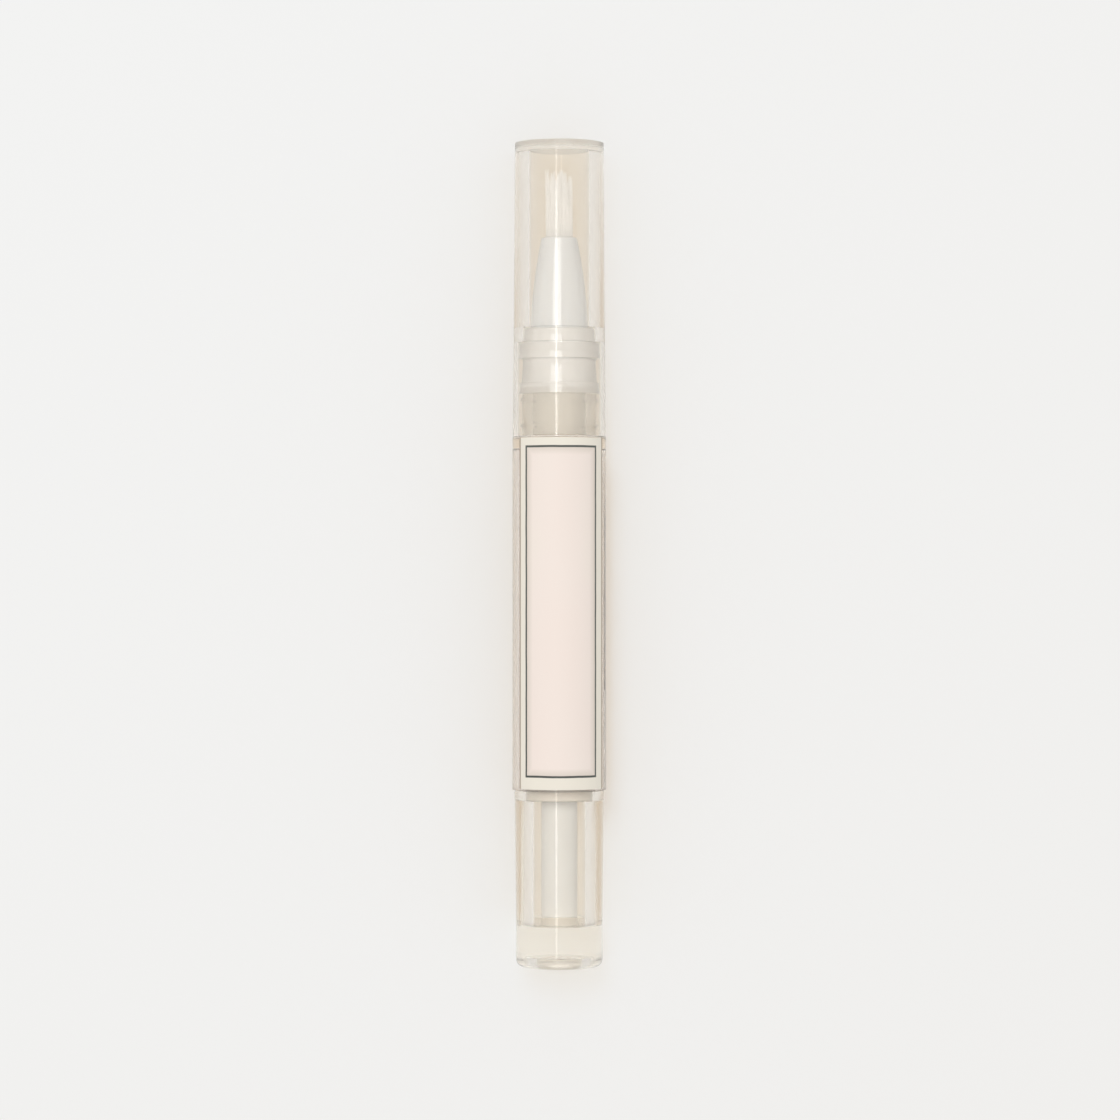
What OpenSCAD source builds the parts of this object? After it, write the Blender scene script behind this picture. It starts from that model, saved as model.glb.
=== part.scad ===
// Twist-up nail oil pen: clear cap over a brush tip, clear oil barrel, clear twist knob.
// Each piece is drawn upright on the pen's axis, z measured from the end of the knob,
// and the whole pen is then laid down along +Y with the cap towards +Y.

/* [Barrel] */
// Outside diameter of the barrel
barrel_d = 13; // [12:0.1:15]
// Thickness of the barrel wall round the oil
barrel_wall = 1.5; // [1.2:0.1:1.8]
// Thickness of the shoulder between the barrel and its neck
shoulder_wall = 1.5; // [1:0.1:2.5]
// Length of the barrel's neck
neck_len = 6; // [5:0.1:8]
// Thickness of the neck wall
neck_wall = 1.45; // [1.2:0.05:1.8]
// Height of the two snap beads on the neck
neck_bead = 0.2; // [0.1:0.05:0.3]
// Width of the snap beads at their foot
neck_bead_w = 0.9; // [0.6:0.1:1.2]
// Distance from the barrel's shoulder to the lower bead
neck_bead_low = 1.2; // [0.6:0.1:1.5]
// Distance from the neck's top to the upper bead
neck_bead_high = 0.4; // [0.2:0.1:0.8]

/* [Label] */
// Angle of the barrel that the label covers
label_angle = 120; // [90:5:150]
// Thickness of the label
label_t = 0.08; // [0.05:0.01:0.15]
// Bare stretch of barrel at each end of the label
label_margin = 0.1; // [0.05:0.05:1]

/* [Collar] */
// Height of the collar's flange on the neck
flange_h = 1.5; // [1:0.1:2]
// Step of the flange inside the seal ring's radius
flange_step = 0.1; // [0.05:0.05:0.3]
// Height of the collar's waist
waist_h = 3.36; // [2.5:0.02:4.5]
// Depth of the waist below the seal ring
waist_step = 0.6; // [0.4:0.05:0.8]
// Fillet at each end of the waist
waist_fillet = 0.4; // [0.1:0.05:0.5]
// Height of the ring that seals in the cap
seal_h = 2.14; // [1.5:0.02:3]
// Height of the lip round the nozzle
lip_h = 2.05; // [1.5:0.05:3]
// Thickness of the lip
lip_wall = 0.9; // [0.6:0.05:1]
// Length of the collar's plug inside the neck
collar_plug_len = 5.7; // [4:0.1:7]
// Wall of the collar's plug
collar_plug_wall = 1.1; // [0.8:0.05:1.4]
// Wall between the waist and the nozzle
collar_wall = 1.07; // [0.8:0.01:1.4]

/* [Nozzle] */
// Length of the nozzle above the collar
nozzle_len = 12.55; // [10:0.05:16]
// Depth of the nozzle's foot inside the collar
nozzle_foot = 8.25; // [6:0.05:8.5]
// Wall of the nozzle's foot
nozzle_wall = 1.05; // [0.8:0.05:1.3]
// Wall of the nozzle at its tip
nozzle_tip_wall = 0.43; // [0.3:0.01:0.6]
// Rounding of the nozzle's tip
nozzle_tip_round = 0.25; // [0.1:0.05:0.3]

/* [Brush] */
// Radius of the bundle of bristles as a share of the nozzle's radius
brush_share = 0.4975; // [0.45:0.0025:0.54]
// Length of the bristles beyond the nozzle
brush_len = 9.6; // [8:0.1:12]
// Number of bristles
bristle_count = 360; // [300:10:420]
// Thickness of one bristle at its root
bristle_d = 0.12; // [0.08:0.01:0.14]
// Thickness of the fused root of the bundle
root_h = 0.8; // [0.5:0.1:1.5]
// Height of the retainer that holds the root in the nozzle
retainer_h = 3; // [2:0.1:4]
// Outside diameter of the feed tube
feed_d = 1.2; // [0.9:0.05:1.5]
// Wall of the feed tube
feed_wall = 0.2; // [0.1:0.05:0.25]
// Length of the feed tube below the retainer
feed_tail = 7.5; // [4:0.5:8.5]

/* [Cap] */
// How far the cap's rim stands inside the barrel's surface
cap_inset = 0.07; // [0.02:0.01:0.2]
// Wall of the cap at its rim
cap_rim_wall = 0.68; // [0.5:0.02:0.9]
// How far the cap narrows towards its closed end, on the radius
cap_draft = 0.28; // [0:0.02:0.4]
// Thickness of the cap's closed end
cap_end_wall = 1.2; // [0.8:0.1:3]
// Free length between the bristles and the closed end
cap_headroom = 2.4; // [1:0.1:3]
// Rounding of the cap's closed end
cap_round = 0.4; // [0.2:0.05:0.6]

/* [Screw drive] */
// Travel of the piston
stroke = 27; // [20:1:30]
// Height of the piston
piston_h = 5; // [4.5:0.1:7]
// Radius of the screw rod as a share of the oil chamber's radius
rod_share = 0.3; // [0.26:0.01:0.34]
// Depth of each flat on the rod
rod_flat = 0.4; // [0.25:0.05:0.5]
// Length of rod that still stands in its sleeve at full travel
rod_engage = 1.1; // [0.8:0.1:3]
// Radius of the drive sleeve as a share of the oil chamber's radius
sleeve_share = 0.5; // [0.46:0.01:0.52]
// Height of the guide bush in the barrel's end
bush_h = 5; // [4:0.1:7]
// Height of the bush's spigot below the barrel
spigot_h = 1.4; // [1:0.1:2]
// Height of the ratchet ring
ratchet_h = 5.4; // [5:0.1:7]
// Number of clicks in one turn
click_count = 12; // [8:1:16]
// Height of the thread nut
nut_h = 3.3; // [2.6:0.1:5]

/* [Knob] */
// How far the knob's top stands inside the barrel's surface
knob_inset = 0.3; // [0.1:0.05:0.5]
// How far the knob narrows towards its end, on the radius
knob_draft = 0.2; // [0:0.05:0.4]
// Air gap between the drive sleeve and the knob's bore
sleeve_gap = 1.07; // [0.8:0.01:1.2]
// Height of the clear end plug below the knob
plug_h = 5.9; // [4:0.1:8]
// Rounding of the plug's edge
plug_round = 1; // [0.5:0.1:1.5]
// Height of the plug's spigot inside the knob
plug_spigot_h = 1.2; // [0.8:0.1:2]
// Depth of the recess in the plug's end, at its wall
plug_recess = 1.3; // [0.5:0.1:2.5]
// Rise of the recess's floor in its middle
plug_dome = 0.5; // [0.1:0.1:1]

/* [Hidden] */
$fn = 96;

// Overrun of a cut past the surface that it leaves
cut = 0.5;
// Radial gap of pieces pressed or bonded together
seat_fit = 0.02;
// Radial gap of pieces that turn or slide in each other
run_fit = 0.05;
// Radial gap between the seal ring and the cap
seal_gap = 0.1;
// Radial gap between the collar's lip and the cap
lip_gap = 0.12;
// Radial gap between the nozzle's base and the cap
nozzle_gap = 0.14;
// Axial gap between faces that pass or nearly meet
end_gap = 0.1;
// Axial gap over the collar's steps inside the cap
cap_end_gap = 0.15;
// Axial gap between the nut and the resting piston
piston_gap = 0.2;
// Length left over the piston at full travel
piston_headroom = 1.3;
// Length left under the rod at rest
rod_headroom = 0.7;
// Inset of the drive sleeve below the top of the ratchet ring
sleeve_inset = 0.2;
// Step of the bush's spigot outside the knob's bore
spigot_step = 1.03;
// Height and width of the flange that keeps the drive sleeve above the bush
sleeve_flange_h = 0.7;
sleeve_flange_w = 0.4;
// Height of the pawl ring
pawl_h = 2.4;
// The pawl ring's wall, the gap behind its arms, the arms, their noses and the saw teeth outside
// them, as shares of the room between the sleeve's hexagon and the barrel
pawl_wall_share = 0.12;
arm_gap_share = 0.075;
arm_share = 0.148;
nose_share = 0.098;
tooth_share = 0.148;
// Ledge that stops the root of the bundle under the nozzle's tip
root_ledge = 0.25;
// Depth of the bundle's root below the tip, as a share of the nozzle's length
root_depth_share = 0.44;
// Chamfer on small moulded edges
edge = 0.15;
// Steps in each rounded edge of a profile
round_steps = 6;
// Steps in the nozzle's convex side
side_steps = 12;

// Radii, worked inwards from the barrel
barrel_r = barrel_d / 2;
chamber_r = barrel_r - barrel_wall;
cap_rim_r = barrel_r - cap_inset;
cap_socket_r = cap_rim_r - cap_rim_wall;
seal_r = cap_socket_r - seal_gap;
flange_r = seal_r - flange_step;
waist_r = seal_r - waist_step;
nozzle_r = waist_r - collar_wall;
lip_r = nozzle_r + lip_wall;
neck_r = waist_r + flange_step;
neck_bore_r = neck_r - neck_wall;
collar_plug_r = neck_bore_r - seat_fit;
collar_bore_r = collar_plug_r - collar_plug_wall;
brush_r = brush_share * nozzle_r;
tip_bore_r = brush_r + run_fit;
nozzle_tip_r = tip_bore_r + nozzle_tip_wall;
root_bore_r = tip_bore_r + root_ledge;
root_r = root_bore_r - seat_fit;
rod_r = rod_share * chamber_r;
sleeve_bore_r = rod_r + run_fit;
sleeve_r = sleeve_share * chamber_r;
bush_bore_r = sleeve_r + run_fit;
hub_r = (sleeve_r + run_fit) / cos(30);
insert_r = chamber_r - seat_fit;
drive_room = insert_r - hub_r;
pawl_wall = pawl_wall_share * drive_room;
pawl_ring_r = hub_r + seat_fit + pawl_wall;
arm_in = pawl_ring_r + arm_gap_share * drive_room;
arm_out = arm_in + arm_share * drive_room;
nose_r = arm_out + nose_share * drive_room;
tooth_tip_r = nose_r + run_fit;
tooth_root_r = tooth_tip_r + tooth_share * drive_room;
knob_bore_r = sleeve_r + sleeve_gap;
spigot_r = knob_bore_r + spigot_step;
knob_top_r = barrel_r - knob_inset;
knob_end_r = knob_top_r - knob_draft;

// Heights, worked up from the end of the knob
knob_z = plug_h;
rod_z = knob_z + rod_headroom;
sleeve_top = rod_z + stroke + rod_engage;
ratchet_top = sleeve_top + sleeve_inset;
ratchet_z = ratchet_top - ratchet_h;
barrel_z = ratchet_z - bush_h;
knob_top = barrel_z - end_gap;
nut_top = ratchet_top + nut_h;
piston_z = nut_top + piston_gap;
piston_top = piston_z + piston_h;
chamber_top = piston_top + stroke + piston_headroom;
shoulder_z = chamber_top + shoulder_wall;
neck_top = shoulder_z + neck_len;
waist_z = neck_top + flange_h;
seal_z = waist_z + waist_h;
lip_z = seal_z + seal_h;
lip_top = lip_z + lip_h;
nozzle_top = lip_top + nozzle_len;
brush_top = nozzle_top + brush_len;
cap_ceiling = brush_top + cap_headroom;
pen_len = cap_ceiling + cap_end_wall;
root_top = nozzle_top - root_depth_share * nozzle_len;
root_z = root_top - root_h;
retainer_z = root_z - retainer_h;
feed_z = retainer_z - feed_tail;
collar_plug_z = neck_top - collar_plug_len;
socket_z = lip_top - nozzle_foot;
hub_z = ratchet_z + end_gap;
pawl_z = hub_z + sleeve_flange_h;

// Keys in the barrel that stop its inserts from turning: half as high as the thinnest insert wall
key_count = 3;
key_w = 1;
key_h = (insert_r - tooth_root_r) / 2;
key_root = barrel_wall / 3;

// Points on an arc about c from angle a to angle b
function arc(c, r, a, b, n = round_steps) =
    [for (i = [0:n]) c + r * [cos(a + (b - a) * i / n), sin(a + (b - a) * i / n)]];

// Lays the upright pen on the floor, cap towards +Y, label upwards
module laid_down() {
    translate([0, -pen_len / 2, barrel_r])
        rotate([-90, 0, 0])
            children();
}

module turned(points) {
    rotate_extrude()
        polygon(points);
}

// Round column from z = low to z = high
module column(r, low, high) {
    translate([0, 0, low])
        cylinder(r = r, h = high - low);
}

// Straight bore from z = low to z = high, run past both ends
module bore(r, low, high) {
    column(r, low - cut, high + cut);
}

// Ring with a soft outer profile, used for the snap beads
module snap_bead(r, z) {
    turned([
        [r - edge, z - neck_bead_w / 2],
        [r, z - neck_bead_w / 2],
        [r + neck_bead, z - neck_bead_w / 6],
        [r + neck_bead, z + neck_bead_w / 6],
        [r, z + neck_bead_w / 2],
        [r - edge, z + neck_bead_w / 2]
    ]);
}

// Ribs round the barrel's bore, or with a gap, the slots that fit over them
module keys(low, high, gap) {
    for (i = [0:key_count - 1])
        rotate([0, 0, i * 360 / key_count])
            translate([chamber_r - key_h - gap, -key_w / 2 - gap, low])
                cube([key_h + gap + key_root, key_w + 2 * gap, high - low]);
}

// Flatted outline of the screw rod, grown by a gap
module rod_outline(gap) {
    intersection() {
        circle(rod_r + gap);
        square([2 * (rod_r - rod_flat + gap), 2 * (rod_r + gap) + cut], center = true);
    }
}

module cap() {
    outer_top_r = cap_rim_r - cap_draft;
    bore_r = nozzle_r + nozzle_gap;
    step_r = lip_r + lip_gap;
    color([0.93, 0.92, 0.88, 0.35])
        laid_down()
            turned(concat(
                [[cap_socket_r + edge, shoulder_z], [cap_rim_r, shoulder_z]],
                arc([outer_top_r - cap_round, pen_len - cap_round], cap_round, 0, 90),
                [
                    [0, pen_len],
                    [0, cap_ceiling],
                    [bore_r - cap_round, cap_ceiling],
                    [bore_r, cap_ceiling - cap_round],
                    [bore_r, lip_top + cap_end_gap],
                    [step_r, lip_top + cap_end_gap],
                    [step_r, lip_z + cap_end_gap],
                    [cap_socket_r, lip_z + cap_end_gap],
                    [cap_socket_r, shoulder_z + edge]
                ]
            ));
}

// Share of a bristle's free length at which it starts to taper, and its spread there
bristle_taper_share = 0.62;
bristle_spread_share = 1.02;
// Share of the bundle's radius that the tips keep, and how far the outer tips fall short
tip_spread_share = 0.93;
tip_dome_share = 0.16;
tip_scatter_share = 0.05;
golden_angle = 137.508;
bristle_sides = 3;

// Point of bristle i on its axis: spread is its share of the root's distance from the pen's axis
function bristle_axis(i, spread, z) =
    let(
        inner = feed_d / 2 + bristle_d,
        outer = (brush_r - bristle_d / 2) / bristle_spread_share,
        r = sqrt(inner * inner + (outer * outer - inner * inner) * (i + 0.5) / bristle_count)
    )
    [spread * r * cos(i * golden_angle), spread * r * sin(i * golden_angle), z];

// Height of the tip of bristle i: a dome, with a small scatter that repeats every seventh bristle
function bristle_tip(i) =
    brush_top - brush_len * (tip_dome_share * pow(i / bristle_count, 2)
        + tip_scatter_share * ((i * 5) % 7) / 7);

function bristle_points(i) =
    let(
        low = bristle_axis(i, 1, root_top - root_h / 2),
        mid = bristle_axis(i, bristle_spread_share, nozzle_top + brush_len * bristle_taper_share)
    )
    concat(
        [for (p = [low, mid]) for (k = [0:bristle_sides - 1])
            p + bristle_d / 2 * [cos(k * 360 / bristle_sides), sin(k * 360 / bristle_sides), 0]],
        [bristle_axis(i, tip_spread_share, bristle_tip(i))]
    );

function bristle_faces(first) =
    let(n = bristle_sides)
    concat(
        [[for (k = [0:n - 1]) first + k]],
        [for (k = [0:n - 1]) [first + k, first + n + k, first + n + (k + 1) % n]],
        [for (k = [0:n - 1]) [first + k, first + n + (k + 1) % n, first + (k + 1) % n]],
        [for (k = [0:n - 1]) [first + n + k, first + 2 * n, first + n + (k + 1) % n]]
    );

module bristles() {
    points_each = 2 * bristle_sides + 1;
    color([0.9, 0.89, 0.86])
        laid_down() {
            difference() {
                column(root_r, root_z, root_top);
                bore(feed_d / 2 + seat_fit, root_z, root_top);
            }
            polyhedron(
                points = [for (i = [0:bristle_count - 1]) each bristle_points(i)],
                faces = [for (i = [0:bristle_count - 1]) each bristle_faces(i * points_each)]
            );
        }
}

// Convex side of the nozzle: the share of the slope that is straight, and the angle at which the
// rounding of its tip takes over
nozzle_slope_share = 0.3;
tip_round_angle = 20;

// Point on the nozzle's side at this share of the way up
function nozzle_side(share) =
    [
        nozzle_r - (nozzle_r - nozzle_tip_r)
            * (nozzle_slope_share * share + (1 - nozzle_slope_share) * share * share),
        lip_top + nozzle_len * share
    ];

module nozzle() {
    cavity_r = nozzle_r - nozzle_wall;
    cavity_top = retainer_z - (cavity_r - root_bore_r);
    side_top_share = 1 - nozzle_tip_round / nozzle_len;
    side_end = nozzle_side(side_top_share);
    color([0.92, 0.93, 0.92])
        laid_down()
            turned(concat(
                [[cavity_r, socket_z], [nozzle_r - edge, socket_z], [nozzle_r, socket_z + edge]],
                [for (i = [0:side_steps]) nozzle_side(side_top_share * i / side_steps)],
                arc([side_end[0] - nozzle_tip_round, nozzle_top - nozzle_tip_round],
                    nozzle_tip_round, tip_round_angle, 90),
                [
                    [tip_bore_r, nozzle_top],
                    [tip_bore_r, root_top],
                    [root_bore_r, root_top],
                    [root_bore_r, retainer_z],
                    [cavity_r, cavity_top]
                ]
            ));
}

// Height of each ring of the retainer beside its waist, and of the slope between them
retainer_ring_share = 0.3;
retainer_slope_share = 0.1;

module tuft_retainer() {
    waist = root_r - 2 * edge;
    ring = retainer_ring_share * retainer_h;
    slope = retainer_slope_share * retainer_h;
    color([0.85, 0.86, 0.85])
        laid_down()
            difference() {
                turned([
                    [0, retainer_z],
                    [root_r - edge, retainer_z],
                    [root_r, retainer_z + edge],
                    [root_r, retainer_z + ring],
                    [waist, retainer_z + ring + slope],
                    [waist, root_z - ring - slope],
                    [root_r, root_z - ring],
                    [root_r, root_z],
                    [0, root_z]
                ]);
                bore(feed_d / 2 + seat_fit, retainer_z, root_z);
            }
}

module feed_tube() {
    color([0.8, 0.82, 0.82])
        laid_down()
            difference() {
                column(feed_d / 2, feed_z, root_top);
                bore(feed_d / 2 - feed_wall, feed_z, root_top);
            }
}

module collar() {
    socket_r = nozzle_r + seat_fit;
    color([0.88, 0.86, 0.8, 0.4])
        laid_down()
            turned(concat(
                [
                    [collar_bore_r, collar_plug_z],
                    [collar_plug_r - edge, collar_plug_z],
                    [collar_plug_r, collar_plug_z + edge],
                    [collar_plug_r, neck_top],
                    [flange_r, neck_top],
                    [flange_r, waist_z]
                ],
                arc([waist_r + waist_fillet, waist_z + waist_fillet], waist_fillet, 270, 180),
                arc([waist_r + waist_fillet, seal_z - waist_fillet], waist_fillet, 180, 90),
                [
                    [seal_r - edge, seal_z],
                    [seal_r, seal_z + edge],
                    [seal_r, lip_z - edge],
                    [seal_r - edge, lip_z],
                    [lip_r, lip_z]
                ],
                arc([lip_r - lip_wall / 2, lip_top - lip_wall / 2], lip_wall / 2, 0, 90),
                [
                    [socket_r, lip_top],
                    [socket_r, socket_z],
                    [collar_bore_r, socket_z]
                ]
            ));
}

module barrel() {
    color([0.93, 0.9, 0.8, 0.35])
        laid_down() {
            difference() {
                union() {
                    turned([
                        [0, barrel_z],
                        [barrel_r - edge, barrel_z],
                        [barrel_r, barrel_z + edge],
                        [barrel_r, shoulder_z],
                        [neck_r, shoulder_z],
                        [neck_r, neck_top],
                        [0, neck_top]
                    ]);
                    snap_bead(neck_r, shoulder_z + neck_bead_low + neck_bead_w / 2);
                    snap_bead(neck_r, neck_top - neck_bead_high - neck_bead_w / 2);
                }
                bore(neck_bore_r, chamber_top, neck_top);
                column(chamber_r, barrel_z - cut, chamber_top);
            }
            keys(barrel_z + edge, nut_top, 0);
        }
}

module label() {
    color([0.96, 0.92, 0.88])
        laid_down()
            translate([0, 0, barrel_z + label_margin + edge])
                rotate([0, 0, -90 - label_angle / 2])
                    rotate_extrude(angle = label_angle)
                        translate([barrel_r, 0])
                            square([label_t, shoulder_z - barrel_z - 2 * label_margin - edge]);
}

module oil() {
    oil_r = chamber_r - seat_fit;
    neck_oil_r = neck_bore_r - seat_fit;
    passage_r = collar_bore_r - seat_fit;
    color([0.93, 0.84, 0.55, 0.5])
        laid_down()
            turned([
                [0, piston_top + run_fit],
                [oil_r, piston_top + run_fit],
                [oil_r, chamber_top - seat_fit],
                [neck_oil_r, chamber_top - seat_fit],
                [neck_oil_r, collar_plug_z - seat_fit],
                [passage_r, collar_plug_z - seat_fit],
                [passage_r, feed_z - run_fit],
                [0, feed_z - run_fit]
            ]);
}

// Snap head of the rod and the socket that holds it in the piston, as shares of the rod and piston
head_neck_share = 0.7;
head_share = 1.12;
head_rim_share = 0.4;
mouth_share = 0.1;
head_base_share = 0.34;
head_top_share = 0.62;
head_neck_r = head_neck_share * rod_r;
head_r = head_share * rod_r;
mouth_z = piston_z + mouth_share * piston_h;
head_base = piston_z + head_base_share * piston_h;
head_top = piston_z + head_top_share * piston_h;

// Height of the piston's lips, depth of its hollow, and radii of its waist, hollow and socket
piston_lip_share = 0.24;
piston_hollow_share = 0.6;
piston_waist_share = 0.89;
piston_skirt_share = 0.71;
piston_boss_share = 0.5;

module piston() {
    lip_r = chamber_r - run_fit;
    lip = piston_lip_share * piston_h;
    waist = piston_waist_share * chamber_r;
    skirt_r = piston_skirt_share * chamber_r;
    boss_r = piston_boss_share * chamber_r;
    color([0.95, 0.95, 0.93])
        laid_down()
            difference() {
                turned([
                    [0, piston_z],
                    [lip_r - edge, piston_z],
                    [lip_r, piston_z + edge],
                    [lip_r, piston_z + lip - edge],
                    [waist, piston_z + lip + edge],
                    [waist, piston_top - lip - edge],
                    [lip_r, piston_top - lip + edge],
                    [lip_r, piston_top - edge],
                    [lip_r - edge, piston_top],
                    [0, piston_top]
                ]);
                difference() {
                    column(skirt_r, piston_z - cut, piston_z + piston_hollow_share * piston_h);
                    column(boss_r, mouth_z, piston_top);
                }
                bore(head_neck_r + 2 * run_fit, piston_z, head_base);
                column(head_r + 2 * run_fit, head_base - end_gap, head_top + end_gap);
            }
}

module screw_rod() {
    shank_top = mouth_z - end_gap;
    color([0.96, 0.96, 0.95])
        laid_down() {
            translate([0, 0, rod_z])
                linear_extrude(height = shank_top - rod_z)
                    rod_outline(0);
            turned([
                [0, shank_top - cut],
                [head_neck_r, shank_top - cut],
                [head_neck_r, head_base],
                [head_r, head_base],
                [head_r, head_base + head_rim_share * (head_top - head_base)],
                [head_neck_r, head_top],
                [0, head_top]
            ]);
        }
}

// The nut has a round pocket between its boss and its rim, over a floor of this share of its height
nut_floor_share = 0.36;

module thread_nut() {
    rim_r = insert_r - key_h - 2 * edge;
    floor_h = nut_floor_share * nut_h;
    color([0.94, 0.95, 0.95])
        laid_down()
            difference() {
                column(insert_r, ratchet_top, nut_top);
                keys(ratchet_top - cut, nut_top + cut, run_fit);
                bore(sleeve_bore_r, ratchet_top, nut_top);
                difference() {
                    column(rim_r, ratchet_top + floor_h, nut_top + cut);
                    bore(sleeve_r, ratchet_top, nut_top);
                }
            }
}

// Saw teeth: each rises slowly to its tip and then drops back to the root, over a share of its pitch
tooth_drop_share = 0.12;

module saw_opening() {
    pitch = 360 / click_count;
    polygon([
        for (i = [0:click_count - 1])
            for (p = [[tooth_root_r, 0], [tooth_tip_r, 1 - tooth_drop_share]])
                p[0] * [cos(pitch * (i + p[1])), sin(pitch * (i + p[1]))]
    ]);
}

module ratchet_ring() {
    teeth_z = pawl_z - end_gap;
    teeth_top = pawl_z + pawl_h + end_gap;
    color([0.9, 0.92, 0.92])
        laid_down()
            difference() {
                column(insert_r, ratchet_z, ratchet_top);
                keys(ratchet_z - cut, ratchet_top + cut, run_fit);
                column(tooth_root_r, ratchet_z - cut, teeth_z);
                translate([0, 0, ratchet_z - cut])
                    linear_extrude(height = ratchet_h + 2 * cut)
                        saw_opening();
                column(tooth_root_r, teeth_top, ratchet_top + cut);
            }
}

// Springy arms of the pawl ring: each trails behind its foot and ends in a nose inside the teeth
arm_count = 3;
arm_angle = 82;
arm_steps = 10;
nose_angle = 10;
foot_angle = 16;

module pawl_arm() {
    nose_end = [cos(arm_angle + nose_angle), -sin(arm_angle + nose_angle)];
    polygon(concat(
        [arm_in * nose_end, nose_r * nose_end],
        arc([0, 0], arm_out, -arm_angle, 0, arm_steps),
        arc([0, 0], pawl_ring_r - pawl_wall / 2, 0, -foot_angle, round_steps),
        arc([0, 0], arm_in, -foot_angle, -arm_angle, arm_steps)
    ));
}

module pawl_outline() {
    difference() {
        union() {
            circle(pawl_ring_r);
            for (k = [0:arm_count - 1])
                rotate([0, 0, k * 360 / arm_count])
                    pawl_arm();
        }
        circle(r = hub_r + seat_fit, $fn = 6);
    }
}

module pawl_ring() {
    color([0.86, 0.9, 0.93])
        laid_down()
            translate([0, 0, pawl_z])
                linear_extrude(height = pawl_h)
                    pawl_outline();
}

module guide_bush() {
    color([0.92, 0.93, 0.93])
        laid_down()
            difference() {
                union() {
                    column(insert_r, barrel_z, ratchet_z);
                    turned([
                        [0, barrel_z - spigot_h],
                        [spigot_r - edge, barrel_z - spigot_h],
                        [spigot_r, barrel_z - spigot_h + edge],
                        [spigot_r, barrel_z + cut],
                        [0, barrel_z + cut]
                    ]);
                }
                keys(barrel_z, ratchet_z + cut, run_fit);
                bore(bush_bore_r, barrel_z - spigot_h, ratchet_z);
            }
}

module drive_sleeve() {
    color([0.95, 0.95, 0.94])
        laid_down()
            difference() {
                union() {
                    column(sleeve_r, knob_z, sleeve_top);
                    column(hub_r + sleeve_flange_w, hub_z, pawl_z);
                    translate([0, 0, hub_z])
                        cylinder(r = hub_r, h = sleeve_top - hub_z, $fn = 6);
                }
                translate([0, 0, knob_z - cut])
                    linear_extrude(height = sleeve_top - knob_z + 2 * cut)
                        rod_outline(run_fit);
            }
}

module knob() {
    collar_r = spigot_r + run_fit;
    collar_z = barrel_z - spigot_h - end_gap;
    color([0.93, 0.91, 0.86, 0.35])
        laid_down()
            turned([
                [knob_bore_r, knob_z],
                [knob_end_r, knob_z],
                [knob_top_r, knob_top - edge],
                [knob_top_r - edge, knob_top],
                [collar_r, knob_top],
                [collar_r, collar_z],
                [knob_bore_r, collar_z]
            ]);
}

// Radius of the recess in the plug's end
recess_share = 0.53;

module end_plug() {
    recess_r = recess_share * knob_end_r;
    dome_r = (recess_r * recess_r + plug_dome * plug_dome) / (2 * plug_dome);
    dome_top = plug_recess + plug_dome;
    color([0.95, 0.94, 0.9, 0.35])
        laid_down()
            difference() {
                union() {
                    turned(concat(
                        [[0, 0]],
                        arc([knob_end_r - plug_round, plug_round], plug_round, -90, 0),
                        [[knob_end_r, knob_z], [0, knob_z]]
                    ));
                    column(knob_bore_r - seat_fit, knob_z - cut, knob_z + plug_spigot_h);
                }
                column(sleeve_r + seat_fit, knob_z, knob_z + plug_spigot_h + cut);
                intersection() {
                    bore(recess_r, 0, dome_top);
                    translate([0, 0, dome_top - dome_r])
                        sphere(r = dome_r);
                }
            }
}

cap();
bristles();
nozzle();
tuft_retainer();
feed_tube();
collar();
barrel();
label();
oil();
piston();
screw_rod();
thread_nut();
ratchet_ring();
pawl_ring();
guide_bush();
drive_sleeve();
knob();
end_plug();
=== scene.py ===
import math
import random

import bpy
from mathutils import Matrix, Vector


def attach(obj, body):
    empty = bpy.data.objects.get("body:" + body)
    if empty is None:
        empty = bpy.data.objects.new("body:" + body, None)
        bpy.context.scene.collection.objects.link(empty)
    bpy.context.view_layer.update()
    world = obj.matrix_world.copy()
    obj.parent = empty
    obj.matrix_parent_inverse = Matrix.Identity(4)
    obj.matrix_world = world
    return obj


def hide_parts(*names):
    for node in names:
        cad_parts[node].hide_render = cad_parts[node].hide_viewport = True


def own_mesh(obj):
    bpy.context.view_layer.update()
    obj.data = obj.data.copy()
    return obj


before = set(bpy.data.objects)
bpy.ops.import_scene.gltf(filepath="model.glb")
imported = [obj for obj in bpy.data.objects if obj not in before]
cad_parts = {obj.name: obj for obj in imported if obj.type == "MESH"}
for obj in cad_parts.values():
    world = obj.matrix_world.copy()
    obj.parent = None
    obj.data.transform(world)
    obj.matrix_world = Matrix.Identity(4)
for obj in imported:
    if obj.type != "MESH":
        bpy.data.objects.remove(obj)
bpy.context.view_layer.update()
print("frame loaded")

mm = 0.001
pen = {"half": 57.0, "axis": 6.5}  # half the pen's length and the height of its axis, in mm
modelling = {
    "arcSteps": 5,  # steps in a rounded corner
    "cornerShare": 0.48,  # a rounding takes up at most this share of a side
    "longSide": 0.25, "hold": 0.05,  # sides longer than this get a point this close to each end
    "turnSteps": 192, "mergeWithin": 0.0006, "smoothAngle": 35,
}


def yOf(height):
    # a height above the knob's end, in mm, as a place along the pen in metres
    return (height - pen["half"]) * mm


def at(radius, height, turn=0.0):
    # a point at this radius and height in mm, turned from the top towards +X, in metres
    angle = math.radians(turn)
    across, up = radius * math.sin(angle), radius * math.cos(angle)
    return Vector((across, height - pen["half"], pen["axis"] + up)) * mm


def deselectAll():
    if bpy.context.object and bpy.context.object.mode != "OBJECT":
        bpy.ops.object.mode_set(mode="OBJECT")
    bpy.ops.object.select_all(action="DESELECT")


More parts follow.
